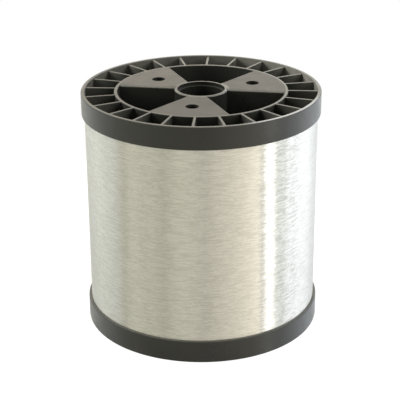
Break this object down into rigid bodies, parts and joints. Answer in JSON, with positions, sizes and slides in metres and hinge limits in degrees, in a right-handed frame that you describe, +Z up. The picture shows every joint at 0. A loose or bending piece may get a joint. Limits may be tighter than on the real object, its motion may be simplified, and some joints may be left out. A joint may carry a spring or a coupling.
{
  "type": "spool of galvanized steel wire",
  "caption": "Full spool of fine bright galvanized steel wire: a dark plastic spool with ribbed flanges and a bored hub, wound level to just under its rims.",
  "frame": {"origin": "centre of the circle that the lower rim stands on, on the axis of the bore", "axes": "+Z up along the axis of the bore; the webs of the upper end are centred 30, 150 and 270 degrees from +X"},
  "size_m": [0.2, 0.2, 0.204],
  "materials": {
    "spool_plastic": "dark warm grey moulded plastic, satin",
    "galvanized_wire": "bright zinc coating on fine drawn wire, wound in close turns"
  },
  "bodies": {
    "root": {"spool": "spool_plastic", "wire_winding": "galvanized_wire"}
  },
  "joints": []
}
